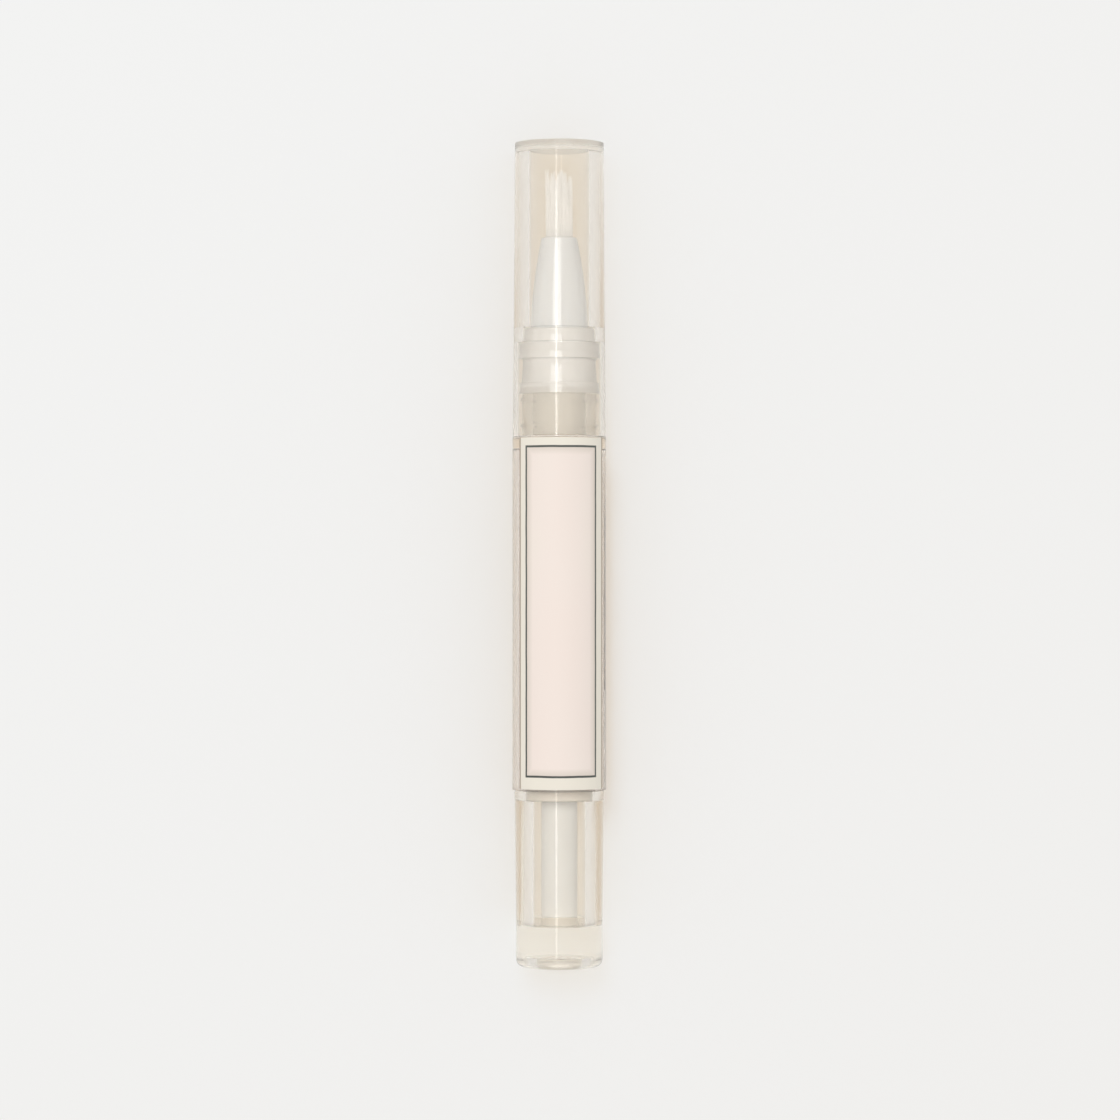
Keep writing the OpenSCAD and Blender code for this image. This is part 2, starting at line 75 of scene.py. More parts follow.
def softened(outline):
    # rounds each corner that carries a third value, its radius
    made = []
    steps, share = modelling["arcSteps"], modelling["cornerShare"]
    for i, corner in enumerate(outline):
        here = Vector(corner[:2])
        if len(corner) < 3:
            made.append(here)
            continue
        back = Vector(outline[i - 1][:2]) - here
        on = Vector(outline[(i + 1) % len(outline)][:2]) - here
        half = back.angle(on) / 2
        run = min(corner[2] / math.tan(half), share * back.length, share * on.length)
        middle = (back.normalized() + on.normalized()).normalized()
        centre = here + middle * run / math.cos(half)
        first = here + back.normalized() * run - centre
        last = here + on.normalized() * run - centre
        made += [centre + first.slerp(last, k / steps) * first.length for k in range(steps + 1)]
    return made


def held(outline):
    # puts a point close to both ends of each long side, so that flat walls shade flat
    made = [outline[0]]
    for here, there in zip(outline, outline[1:]):
        side = there - here
        if side.length > modelling["longSide"]:
            inset = side * (modelling["hold"] / side.length)
            made += [here + inset, there - inset]
        made.append(there)
    return made


def chainOf(points, origin=None):
    # starts a piece as one chain of edges through these points, and stays in edit mode
    origin = points[0] if origin is None else origin
    deselectAll()
    bpy.ops.mesh.primitive_plane_add(size=mm, location=origin)
    bpy.ops.object.mode_set(mode="EDIT")
    bpy.ops.mesh.merge(type="CENTER")
    bpy.ops.transform.translate(value=points[0] - origin)
    for here, there in zip(points, points[1:]):
        bpy.ops.mesh.extrude_vertices_move(TRANSFORM_OT_translate={"value": there - here})
    return bpy.context.object


def faceOutwards():
    bpy.ops.mesh.select_all(action="SELECT")
    bpy.ops.mesh.normals_make_consistent(inside=False)


def settleShape():
    # puts the active piece's place into its mesh and smooths its shading
    bpy.ops.object.mode_set(mode="OBJECT")
    bpy.ops.object.transform_apply(location=True, rotation=True, scale=True)
    bpy.ops.object.shade_smooth_by_angle(angle=math.radians(modelling["smoothAngle"]))


def turnedPiece(name, outline, closed=True, steps=modelling["turnSteps"]):
    # draws an outline of (radius, height, rounding) in mm and spins it about the pen's axis
    points = softened(outline)
    points = held(points + points[:1] if closed else points)
    piece = chainOf([at(*point) for point in points])
    piece.name = piece.data.name = name
    bpy.ops.mesh.select_all(action="SELECT")
    bpy.ops.mesh.spin(steps=steps, angle=math.tau, center=at(0, 0), axis=(0, 1, 0))
    bpy.ops.mesh.select_all(action="SELECT")
    bpy.ops.mesh.remove_doubles(threshold=modelling["mergeWithin"] * mm)
    faceOutwards()
    settleShape()
    return piece


def useModifier(piece, kind, **settings):
    modifier = piece.modifiers.new(kind.title(), kind)
    for key, value in settings.items():
        setattr(modifier, key, value)
    bpy.context.view_layer.objects.active = piece
    bpy.ops.object.modifier_apply(modifier=modifier.name)


def joined(name, pieces):
    deselectAll()
    for piece in pieces:
        piece.select_set(True)
    bpy.context.view_layer.objects.active = pieces[0]
    bpy.ops.object.join()
    pieces[0].name = pieces[0].data.name = name
    return pieces[0]


def finished(piece, body, slot, material, *nodes):
    piece.data.materials.clear()
    piece.data.materials.append(material)
    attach(piece, body)
    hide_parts(*nodes)


class Wire:
    # wraps one output socket, so that shader maths reads as plain expressions
    def __init__(self, wiring, socket):
        self.wiring = wiring
        self.socket = socket

    def maths(self, operation, *values):
        return self.wiring.node("ShaderNodeMath", {"operation": operation}, dict(enumerate(values)))

    def __add__(self, other):
        return self.maths("ADD", self, other)

    __radd__ = __add__

    def __mul__(self, other):
        return self.maths("MULTIPLY", self, other)

    __rmul__ = __mul__

    def __sub__(self, other):
        return self.maths("SUBTRACT", self, other)

    def __rsub__(self, other):
        return self.maths("SUBTRACT", other, self)

    def __abs__(self):
        return self.maths("ABSOLUTE", self)

    def above(self, level):
        return self.maths("GREATER_THAN", self, level)

    def below(self, level):
        return self.maths("LESS_THAN", self, level)

    def smaller(self, other):
        return self.maths("MINIMUM", self, other)

    def larger(self, other):
        return self.maths("MAXIMUM", self, other)

    def turnFrom(self, other):
        # the angle from the other measure towards this one, in radians
        return self.maths("ARCTAN2", self, other)


class Wiring:
    # the nodes of a material or of the world
    def __init__(self, tree):
        self.tree = tree

    def node(self, kind, settings=None, sockets=None, out=0):
        made = self.tree.nodes.new(kind)
        for key, value in (settings or {}).items():
            if key == "stops":
                self.setStops(made.color_ramp, value)
            else:
                setattr(made, key, value)
        for key, value in (sockets or {}).items():
            self.feed(made.inputs[key], value)
        return Wire(self, made.outputs[out])

    def setStops(self, ramp, stops):
        while len(ramp.elements) < len(stops):
            ramp.elements.new(1.0)
        for element, (place, colour) in zip(ramp.elements, stops):
            element.position = place
            element.color = (*colour, 1)

    def feed(self, socket, value):
        if isinstance(value, Wire):
            self.tree.links.new(value.socket, socket)
        elif socket.type == "RGBA":
            socket.default_value = (*value, 1)
        else:
            socket.default_value = value

    def graded(self, value, start, end, low=0.0, high=1.0, kind="LINEAR"):
        # goes from low to high as the value goes from start to end
        return self.node("ShaderNodeMapRange", {"interpolation_type": kind}, {
            "Value": value, "From Min": start, "From Max": end, "To Min": low, "To Max": high})

    def rayKinds(self, *kinds):
        rays = self.node("ShaderNodeLightPath").socket.node
        return [Wire(self, rays.outputs[kind]) for kind in kinds]

    def seenDirectly(self):
        # 1 for the rays by which the camera, metal or glass shows a surface, else 0
        byCamera, byShine, byGlass = self.rayKinds(
            "Is Camera Ray", "Is Glossy Ray", "Is Transmission Ray")
        return byCamera.larger(byShine).larger(byGlass)


class Finish(Wiring):
    # one material, with its Principled shader at hand
    def __init__(self, name, values):
        self.material = bpy.data.materials.new(name)
        self.material.use_nodes = True
        super().__init__(self.material.node_tree)
        self.shader = self.tree.nodes["Principled BSDF"]
        self.output = self.tree.nodes["Material Output"]
        for key, value in values.items():
            self.set(key, value)

    def set(self, key, value):
        self.feed(self.shader.inputs[key], value)

    def place(self):
        # where the point is on the piece, in metres: across, along and up
        spot = self.node("ShaderNodeTexCoord", out="Object")
        apart = self.node("ShaderNodeSeparateXYZ", sockets={0: spot})
        return [Wire(self, socket) for socket in apart.socket.node.outputs]

    def along(self):
        return self.place()[1]

    def noise(self, scale, detail, stretch=(1, 1, 1)):
        spot = self.node("ShaderNodeTexCoord", out="Object")
        moved = self.node("ShaderNodeMapping", sockets={"Vector": spot, "Scale": stretch})
        return self.node("ShaderNodeTexNoise", sockets={
            "Vector": moved, "Scale": scale, "Detail": detail})

    def mixed(self, share, first, second):
        made = self.node("ShaderNodeMix", {"data_type": "RGBA"}, {0: share, 6: first, 7: second})
        return Wire(self, made.socket.node.outputs[2])

    def bump(self, height, distance):
        self.set("Normal", self.node("ShaderNodeBump", sockets={
            "Height": height, "Strength": 1.0, "Distance": distance}))

    def swap(self, share, other):
        # shows another shader in place of the Principled one, by this share
        shown = self.node("ShaderNodeMixShader", sockets={
            0: share, 1: Wire(self, self.shader.outputs[0]), 2: other})
        self.feed(self.output.inputs["Surface"], shown)

    def letLampsThrough(self, colour, share=1.0):
        # rays towards a lamp pass a clear wall, and so do reflected rays that reach it through
        # air, so that what stands inside it is lit and shines
        lampRay, shineRay, glassRay, passed = self.rayKinds(
            "Is Shadow Ray", "Is Glossy Ray", "Is Transmission Ray", "Transparent Depth")
        backSide = self.node("ShaderNodeNewGeometry", out="Backfacing")
        fromAir = (1 - backSide).larger(passed.above(0.5)) * (1 - glassRay)
        clear = self.node("ShaderNodeBsdfTransparent", sockets={"Color": colour})
        self.swap(lampRay.larger(shineRay * fromAir) * share, clear)


def clearPlastic(name, look):
    # polished clear moulding: a faint waviness from the mould and a breath of haze
    finish = Finish(name, {"Transmission Weight": look["clear"], "IOR": look["index"]})
    tint = look["tint"]
    if "bodyTint" in look:
        # the thick body of the moulding has a deeper tint than its thin neck
        inBody = finish.along().below(yOf(look["bodyTop"]))
        tint = finish.mixed(inBody, tint, look["bodyTint"])
    finish.set("Base Color", tint)
    rough = look["rough"] + look["roughChange"] * finish.noise(look["hazeScale"], detail=3)
    if "endRough" in look:
        # the moulding's closed end turns satin between two heights
        rough = rough + finish.graded(finish.along(), yOf(look["endFrom"]), yOf(look["endTo"]),
                                      high=look["endRough"], kind="SMOOTHSTEP")
    finish.set("Roughness", rough)
    wave = finish.noise(look["waveScale"], detail=1, stretch=(1, 0.25, 1))
    finish.bump(wave, look["waveHeight"])
    finish.letLampsThrough(look["shade"])
    return finish.material


def moulded(name, look):
    # opaque or milky moulding with a fine satin grain
    finish = Finish(name, {
        "IOR": look["index"], "Subsurface Weight": look["glow"],
        "Subsurface Radius": look["glowReach"], "Subsurface Scale": look["glowDepth"]})
    mottle = finish.noise(look["mottleScale"], detail=4)
    finish.set("Base Color", finish.mixed(mottle, look["colour"], look["shade"]))
    grain = finish.noise(look["grainScale"], detail=2)
    finish.set("Roughness", look["rough"] + look["roughChange"] * grain)
    finish.bump(grain, look["grainHeight"])
    return finish.material


# in mm, and the turn in degrees: the pen lies turned a little round its axis
camera = {"across": 0.1, "along": -0.74, "distance": 514.0, "turn": -4.0, "lens": 119.2}
cameraData = bpy.data.cameras.new("camera")
cameraData.lens = camera["lens"]
cameraData.sensor_width = 36
cameraData.clip_start, cameraData.clip_end = 0.05, 20
cameraObject = bpy.data.objects.new("camera", cameraData)
cameraTurn = Matrix.Rotation(math.radians(camera["turn"]), 3, "Y")
cameraSpot = cameraTurn @ Vector((camera["across"], camera["along"], camera["distance"]))
cameraObject.location = (cameraSpot + Vector((0, 0, pen["axis"]))) * mm
cameraObject.rotation_euler = cameraTurn.to_euler()
bpy.context.scene.collection.objects.link(cameraObject)
bpy.context.scene.camera = cameraObject

floorLook = {
    "size": 3.0, "drop": 0.00002, "index": 1.3, "rough": 0.7,
    "colour": (0.895, 0.893, 0.885), "grainScale": 900, "grainShade": 0.985,
    "cool": (0.38, 0.52, 0.66), "warm": (0.51, 0.37, 0.225),
}
deselectAll()
bpy.ops.mesh.primitive_plane_add(size=floorLook["size"], location=(0, 0, -floorLook["drop"]))
floor = bpy.context.object
floor.name = "floor"
paper = Finish("floorPaper", {"IOR": floorLook["index"], "Roughness": floorLook["rough"]})
paperShade = [part * floorLook["grainShade"] for part in floorLook["colour"]]
paperGrain = paper.noise(floorLook["grainScale"], detail=3)
paper.set("Base Color", paper.mixed(paperGrain, floorLook["colour"], paperShade))
# what is seen of the floor is a cool sheet with a warm glow, which add up to white and leave
# the shadow warm
coolSheet = paper.node("ShaderNodeBsdfDiffuse", sockets={"Color": floorLook["cool"]})
warmGlow = paper.node("ShaderNodeEmission", sockets={"Color": floorLook["warm"]})
seenFloor = paper.node("ShaderNodeAddShader", sockets={0: warmGlow, 1: coolSheet})
paper.swap(paper.seenDirectly(), seenFloor)
floor.data.materials.append(paper.material)
print("camera and floor placed")

# softbox and strip light the pen; window and front only put highlights on the pieces that
# shineOnly names
lamps = {
    "softbox": dict(location=(-0.25, 0.5, 1.2), width=0.5, length=0.5, power=5.2, mirrored=False),
    "strip": dict(location=(-0.158, 0, 0.784), width=0.06, length=0.75, power=0.65),
    "window": dict(location=(-0.167, 0.31, 0.72), aim=(0, 0.04, 0), width=0.47, length=0.4,
                   power=4.2, colour=(0.88, 0.94, 1.0), lights=False),
    "front": dict(location=(0, -1.0, 0.75), width=1.0, length=1.2, power=15.0, lights=False),
}


def areaLamp(name, location, width, length, power, aim=(0, 0, 0), colour=(1, 1, 1),
             lights=True, mirrored=True):
    data = bpy.data.lights.new(name, "AREA")
    data.shape = "RECTANGLE"
    data.size, data.size_y = width, length
    data.energy = power
    data.color = colour
    lamp = bpy.data.objects.new(name, data)
    lamp.location = location
    back = (Vector(location) - Vector(aim)).normalized()
    side = Vector((0, 1, 0)).cross(back).normalized()
    lamp.rotation_euler = Matrix((side, back.cross(side), back)).transposed().to_euler()
    # its light comes in by the clear walls' own rule, so they don't show it a second time
    lamp.visible_transmission = False
    lamp.visible_diffuse, lamp.visible_glossy = lights, mirrored
    bpy.context.scene.collection.objects.link(lamp)
    return lamp


def shineOnly(lampName, *pieces):
    # keeps this lamp to these pieces, and off the clear walls round them
    litPieces = bpy.data.collections.new(lampName + "Lit")
    for piece in pieces:
        litPieces.objects.link(piece)
    lampObjects[lampName].light_linking.receiver_collection = litPieces


lampObjects = {name: areaLamp(name, **lamp) for name, lamp in lamps.items()}

# the room lights the pen softly, and shows white where metal, glass or the camera sees it
room = {"colour": (1.0, 0.995, 0.985), "soft": 0.64, "seen": 1.0}
world = bpy.data.worlds.new("studio")
bpy.context.scene.world = world
world.use_nodes = True
roomNodes = Wiring(world.node_tree)
background = world.node_tree.nodes["Background"]
roomNodes.feed(background.inputs["Color"], room["colour"])
roomNodes.feed(background.inputs["Strength"], roomNodes.graded(
    roomNodes.seenDirectly(), 0.0, 1.0, low=room["soft"], high=room["seen"]))
bpy.context.scene.view_settings.view_transform = "Standard"

# light has to cross the walls of cap, collar and barrel, twice each, to come out again
bounces = {
    "max_bounces": 40, "transmission_bounces": 40, "transparent_max_bounces": 40,
    "diffuse_bounces": 16, "glossy_bounces": 12,
}
for bounceKind, most in bounces.items():
    setattr(bpy.context.scene.cycles, bounceKind, most)
print("lamps placed")

# the cap has a stepped bore, which clears the collar, and a thick closed end
cap = {
    "outline": [
        (0, 112.8), (4.12, 112.8, 0.12), (4.12, 88.4, 0.03), (5.0, 88.4, 0.03),
        (5.0, 86.35, 0.03), (5.75, 86.35, 0.03), (5.75, 73.35, 0.03), (5.9, 73.2, 0.02),
        (6.43, 73.2, 0.025), (6.15, 114.0, 0.06), (0, 114.0),
    ],
    "look": {
        "clear": 0.95, "index": 1.49, "tint": (0.945, 0.905, 0.845), "rough": 0.06,
        "roughChange": 0.04, "hazeScale": 260, "waveScale": 90, "waveHeight": 0.000002,
        "shade": (0.95, 0.945, 0.935), "endRough": 0.22, "endFrom": 112.7, "endTo": 113.5,
    },
}
capPiece = turnedPiece("cap_clear", cap["outline"], closed=False)
capPlastic = clearPlastic("clearCap", cap["look"])
finished(capPiece, "cap_body", "clear_cap", capPlastic, "cap")
print("cap made")

# from the neck up the collar has a flange, a waist, the seal ring and a lip, and each tapers
# by up to 0.2 mm, which catches the window lamp
collar = {
    "outline": [
        (2.58, 73.5, 0.05), (3.68, 73.5, 0.15), (3.68, 79.2, 0.05), (5.6, 79.2, 0.06),
        (5.52, 80.2, 3.0), (5.52, 80.7, 0.08), (5.25, 80.7, 0.06), (5.05, 83.0, 10.0),
        (5.05, 84.06, 0.3), (5.69, 84.06, 0.06), (5.62, 84.95, 3.0), (5.62, 86.2, 0.08),
        (4.94, 86.2, 0.05), (4.86, 87.2, 3.0), (4.86, 88.25, 0.3), (4.0, 88.25, 0.03),
        (4.0, 80.0, 0.04), (2.58, 80.0, 0.04),
    ],
    "look": {
        "clear": 0.3, "index": 1.47, "tint": (0.91, 0.905, 0.9), "rough": 0.02,
        "roughChange": 0.06, "hazeScale": 300, "waveScale": 120, "waveHeight": 0.000004,
        "shade": (0.99, 0.988, 0.982),
    },
}
collarPiece = turnedPiece("collar_clear", collar["outline"])
collarPlastic = clearPlastic("clearCollar", collar["look"])
finished(collarPiece, "barrel_body", "clear_collar", collarPlastic, "collar")
print("collar made")

# the nozzle narrows towards its tip, slowly at first, so that its side is slightly convex
nozzle = {
    "foot": (3.98, 88.25), "tip": (2.46, 100.8), "straight": 0.3, "steps": 14,
    "inCollar": [(2.93, 80.0, 0.03), (3.98, 80.0, 0.12), (3.98, 88.25)],
    "mouth": [
        (2.46, 100.8, 0.22), (2.03, 100.8, 0.05), (2.03, 95.28), (2.28, 95.28), (2.28, 91.5),
        (2.93, 90.85),
    ],
    "look": {
        "colour": (0.85, 0.88, 0.92), "shade": (0.82, 0.85, 0.89), "mottleScale": 160,
        "grainScale": 2500, "grainHeight": 0.0000002, "index": 1.5, "rough": 0.02,
        "roughChange": 0.08, "glow": 0.12, "glowReach": (1.0, 0.9, 0.8), "glowDepth": 0.0008,
    },
}


def nozzleSide(share):
    (footRadius, footHeight), (tipRadius, tipHeight) = nozzle["foot"], nozzle["tip"]
    fall = nozzle["straight"] * share + (1 - nozzle["straight"]) * share * share
    radius = footRadius - (footRadius - tipRadius) * fall
    return (radius, footHeight + (tipHeight - footHeight) * share)


nozzleSides = [nozzleSide(i / nozzle["steps"]) for i in range(1, nozzle["steps"])]
nozzlePiece = turnedPiece("nozzle_tip", nozzle["inCollar"] + nozzleSides + nozzle["mouth"])
nozzlePlastic = moulded("nozzlePlastic", nozzle["look"])
finished(nozzlePiece, "barrel_body", "nozzle_plastic", nozzlePlastic, "nozzle")
shineOnly("window", nozzlePiece, collarPiece)
print("nozzle made")

# the barrel has two snap beads round its neck, and keys that stop its inserts from turning
barrel = {
    "outline": [
        (6.5, 24.5, 0.03), (6.5, 73.2, 0.025), (5.15, 73.2, 0.05), (5.15, 74.4),
        (5.35, 74.7, 0.1), (5.35, 75.0, 0.1), (5.15, 75.3), (5.15, 77.9), (5.35, 78.2, 0.1),
        (5.35, 78.5, 0.1), (5.15, 78.8), (5.15, 79.2, 0.08), (3.7, 79.2, 0.05),
        (3.7, 71.7, 0.05), (5.0, 71.7, 0.3), (5.0, 24.5, 0.04),
    ],
    "keyCount": 3, "keyFirst": 90, "keyLow": 24.65, "keyHigh": 38.2, "keyWidth": 1.0,
    "keyRadius": 4.61, "keyRoot": 5.3, "keyBevel": 0.06,
    "look": {
        "clear": 0.86, "index": 1.49, "tint": (0.99, 0.972, 0.94), "rough": 0.06,
        "bodyTint": (0.955, 0.885, 0.82), "bodyTop": 73.25,
        "roughChange": 0.04, "hazeScale": 260, "waveScale": 90, "waveHeight": 0.0000015,
        "shade": (0.985, 0.975, 0.96),
    },
}


def addKey(turn):
    radius, root = barrel["keyRadius"], barrel["keyRoot"]
    low, high = barrel["keyLow"], barrel["keyHigh"]
    deselectAll()
    bpy.ops.mesh.primitive_cube_add(
        size=1, location=at((root + radius) / 2, (high + low) / 2, turn),
        rotation=(0, math.radians(turn), 0),
        scale=(barrel["keyWidth"] * mm, (high - low) * mm, (root - radius) * mm))
    bpy.ops.object.mode_set(mode="EDIT")
    bpy.ops.mesh.bevel(offset=barrel["keyBevel"] * mm, segments=2)
    key = bpy.context.object
    settleShape()
    useModifier(barrelPiece, "BOOLEAN", operation="UNION", object=key)
    bpy.data.objects.remove(key)


barrelPiece = turnedPiece("barrel_clear", barrel["outline"])
for k in range(barrel["keyCount"]):
    addKey(barrel["keyFirst"] + k * 360 / barrel["keyCount"])
barrelPlastic = clearPlastic("clearBarrel", barrel["look"])
finished(barrelPiece, "barrel_body", "clear_barrel", barrelPlastic, "barrel")
print("barrel made")

# the oil in the chamber and the oil in the neck, both carried by the barrel; in the pen the
# chamber's oil gets shorter as the piston rises
oil = {
    "chamber": [(0, 43.46), (4.985, 43.46, 0.03), (4.985, 71.69, 0.3), (0, 71.69)],
    "neck": [
        (0, 71.55), (3.712, 71.55, 0.04), (3.712, 73.49, 0.05), (2.592, 73.49, 0.05),
        (2.592, 80.0), (2.945, 80.0, 0.03), (2.945, 83.9, 0.1), (0, 83.9),
    ],
    "look": {
        "clear": 0.75, "index": 1.46, "tint": (0.99, 0.95, 0.86), "rough": 0.02,
        "roughChange": 0.004, "hazeScale": 100, "waveScale": 40, "waveHeight": 0.0000005,
        "shade": (0.99, 0.975, 0.92),
    },
}
oilMaterial = clearPlastic("paleOil", oil["look"])
chamberOil = turnedPiece("oil_chamber", oil["chamber"], closed=False)
neckOil = turnedPiece("oil_neck", oil["neck"], closed=False)
finished(chamberOil, "barrel_body", "oil", oilMaterial, "oil")
finished(neckOil, "barrel_body", "oil", oilMaterial, "oil")
at(0, 71.69)
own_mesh(chamberOil)
print("oil made")

# the label is a film with a thin framed panel; its frame is in degrees and mm
label = {
    "radius": 6.506, "thickness": 0.074, "low": 24.75, "high": 73.1, "reach": 60, "steps": 96,
    "endStrip": 0.1,
    "frameLow": 26.4, "frameHigh": 72.0, "frameLeft": -48.8, "frameRight": 46.4, "line": 0.29,
    # the last value is the width of the painted shadow line along the film's cut edges, in mm
    "wander": 0.08, "fade": 1.0, "paintedEdgeShadow": 0.26,
    "look": {
        "shader": {"IOR": 1.45, "Coat Weight": 0.05, "Coat Roughness": 0.3},
        "blush": [
            (0.32, (0.90, 0.79, 0.725)), (0.5, (0.90, 0.80, 0.735)), (0.68, (0.89, 0.815, 0.735)),
        ],
        "nearFrame": (0.74, 0.66, 0.585), "border": (0.87, 0.825, 0.72),
        "borderShade": (0.84, 0.785, 0.69), "ink": (0.035, 0.035, 0.036),
        # the last colour is the painted shadow line along the film's cut edges
        "inkWorn": (0.13, 0.145, 0.125), "paintedEdgeShadow": (0.36, 0.29, 0.22),
        "rough": 0.52, "roughChange": 0.1, "inkGloss": 0.1, "inkHeight": 0.6,
        "grainHeight": 0.000004, "grainScale": 500, "roughScale": 700, "wanderScale": 420,
        "blushScale": 90, "borderScale": 150, "inkScale": 60,
    },
}


def labelFilm():
    look = label["look"]
    finish = Finish("labelFilm", look["shader"])
    across, along, up = finish.place()
    turn = across.turnFrom(up - pen["axis"] * mm)
    arc = (label["radius"] + label["thickness"]) * mm
    middleTurn = math.radians((label["frameLeft"] + label["frameRight"]) / 2)
    halfTurn = math.radians((label["frameRight"] - label["frameLeft"]) / 2)
    middleAlong = yOf((label["frameLow"] + label["frameHigh"]) / 2)
    halfAlong = (label["frameHigh"] - label["frameLow"]) / 2 * mm
    # how far a point lies inside the frame, whose line wavers a little as printed ink does
    wander = (finish.noise(look["wanderScale"], detail=2) - 0.5) * (label["wander"] * mm)
    sideways = halfTurn * arc - abs((turn - middleTurn) * arc) + wander
    endways = halfAlong - abs(along - middleAlong) + wander
    inside = sideways.smaller(endways)
    line = inside.above(0.0) * inside.below(label["line"] * mm)
    panel = inside.above(label["line"] * mm)
    blush = finish.node("ShaderNodeValToRGB", {"stops": look["blush"]}, {
        0: finish.noise(look["blushScale"], detail=2, stretch=(1, 0.35, 1))})
    border = finish.mixed(finish.noise(look["borderScale"], detail=2, stretch=(1, 0.3, 1)),
                          look["border"], look["borderShade"])
    ink = finish.mixed(finish.noise(look["inkScale"], detail=1), look["ink"], look["inkWorn"])
    # the panel is a little darker along its frame
    fromFrame = finish.graded(inside, label["line"] * mm, (label["line"] + label["fade"]) * mm)
    blush = finish.mixed(fromFrame, look["nearFrame"], blush)
    colour = finish.mixed(panel, border, blush)
    # painted shadow: a thin brown line along the film's cut edges stands in for the shade at its
    # edge
    fromEdge = math.radians(label["reach"]) * arc - abs(turn * arc)
    colour = finish.mixed(fromEdge.below(label["paintedEdgeShadow"] * mm), colour, look["paintedEdgeShadow"])
    finish.set("Base Color", finish.mixed(line, colour, ink))
    rough = look["rough"] + look["roughChange"] * finish.noise(look["roughScale"], detail=2)
    finish.set("Roughness", rough - line * look["inkGloss"])
    grain = finish.noise(look["grainScale"], detail=2)
    finish.bump(grain + line * look["inkHeight"], look["grainHeight"])
    return finish.material


def labelSheet():
    turns = [label["reach"] * (2 * k / label["steps"] - 1) for k in range(label["steps"] + 1)]
    sheet = chainOf([at(label["radius"], label["low"], turn) for turn in turns])
    sheet.name = sheet.data.name = "label_film"
    bpy.ops.mesh.select_all(action="SELECT")
    strip = label["endStrip"]
    for step in (strip, label["high"] - label["low"] - 2 * strip, strip):
        bpy.ops.mesh.extrude_edges_move(TRANSFORM_OT_translate={"value": (0, step * mm, 0)})
    faceOutwards()
    settleShape()
    # the film gets its thickness on the side away from the barrel
    middle = at(0, (label["low"] + label["high"]) / 2)
    outwards = sum(face.normal.dot(face.center - middle) for face in sheet.data.polygons)
    useModifier(sheet, "SOLIDIFY", thickness=label["thickness"] * mm,
                offset=1.0 if outwards > 0 else -1.0, use_even_offset=True)
    bpy.ops.object.mode_set(mode="EDIT")
    faceOutwards()
    settleShape()
    return sheet


labelPiece = labelSheet()
finished(labelPiece, "barrel_body", "label_film", labelFilm(), "label")
print("label made")

# the clear knob round the pale drive sleeve
knob = {
    "outline": [
        (3.57, 5.9, 0.05), (6.0, 5.9, 0.05), (6.2, 24.4, 0.03), (4.65, 24.4, 0.02),
        (4.65, 23.0, 0.05), (3.57, 23.0, 0.05),
    ],
    "look": {
        "clear": 0.93, "index": 1.49, "tint": (0.955, 0.915, 0.85), "rough": 0.06,
        "roughChange": 0.04, "hazeScale": 260, "waveScale": 90, "waveHeight": 0.000004,
        "shade": (0.95, 0.94, 0.925),
    },
}
knobPlastic = clearPlastic("clearKnob", knob["look"])
knobPiece = turnedPiece("knob_clear", knob["outline"])
finished(knobPiece, "knob_body", "clear_knob", knobPlastic, "knob")

# the plug closes the knob's end, with a round recess whose floor is slightly domed
plug = {
    "recess": 3.18, "wallTop": 1.3, "edge": 0.12, "dome": 0.5, "steps": 8,
    "outside": [
        (6.0, 0, 1.0), (6.0, 5.86, 0.06), (3.55, 5.86, 0.03), (3.55, 7.1, 0.1),
        (2.52, 7.1, 0.05), (2.52, 5.9, 0.04), (0, 5.9),
    ],
    "look": dict(knob["look"], tint=(0.95, 0.922, 0.87), shade=(0.86, 0.83, 0.79),
                 endRough=0.14, endFrom=1.7, endTo=1.2),
}


def plugDome():
    # the recess floor, as part of a sphere
    sphere = (plug["recess"] ** 2 + plug["dome"] ** 2) / (2 * plug["dome"])
    points = []
    for k in range(plug["steps"]):
        radius = plug["recess"] * k / plug["steps"]
        rise = plug["dome"] - sphere + math.sqrt(sphere ** 2 - radius ** 2)
        points.append((radius, plug["wallTop"] + rise))
    return points


recessWall = [(plug["recess"], plug["wallTop"], plug["edge"]), (plug["recess"], 0, plug["edge"])]
plugPiece = turnedPiece("end_plug_clear", plugDome() + recessWall + plug["outside"], closed=False)
plugPlastic = clearPlastic("clearPlug", plug["look"])
finished(plugPiece, "knob_body", "clear_knob", plugPlastic, "end_plug")
shineOnly("front", plugPiece)
print("knob and plug made")

# the bristles: separate strands that gather into clumps towards their tips
bristles = {
    "count": 420, "root": 95.0, "mouth": 100.8, "tip": 111.1, "bundle": 1.93,
    "thickness": 0.08, "rings": 6, "seed": 7, "strandTurn": 2.39996,
    "clumps": 11, "clumpTurn": 2.4, "clumpStart": 0.6, "clumpFall": 1.9, "clumpLean": 0.5,
    "leanShare": 0.35, "gather": (0.45, 0.85), "splay": (0.9, 1.08), "scatter": 0.1,
    "waviness": 0.05, "waves": 3.1, "dome": 0.9, "uneven": 0.45, "taper": 0.6, "bend": 1.6,
    "look": {
        "colour": (0.99, 0.99, 0.99), "shade": (0.94, 0.94, 0.945), "index": 1.53,
        "rough": 0.34, "footSolid": 0.42, "tipSolid": 0.95, "solidFrom": 2,
        "toneScale": 900, "lampShade": (0.985, 0.98, 0.97), "lampShare": 0.85,
    },
}


def bristleFibre():
    look = bristles["look"]
    finish = Finish("bristleNylon", {"IOR": look["index"], "Roughness": look["rough"]})
    tone = finish.noise(look["toneScale"], detail=2, stretch=(1, 0.08, 1))
    finish.set("Base Color", finish.mixed(tone, look["colour"], look["shade"]))
    # wet and nearly clear where they leave the nozzle, whiter towards their tips
    whiteFrom = yOf(bristles["tip"] - look["solidFrom"])
    finish.set("Alpha", finish.graded(finish.along(), yOf(bristles["mouth"]), whiteFrom,
                                      low=look["footSolid"], high=look["tipSolid"]))
    finish.letLampsThrough(look["lampShade"], look["lampShare"])
    return finish.material


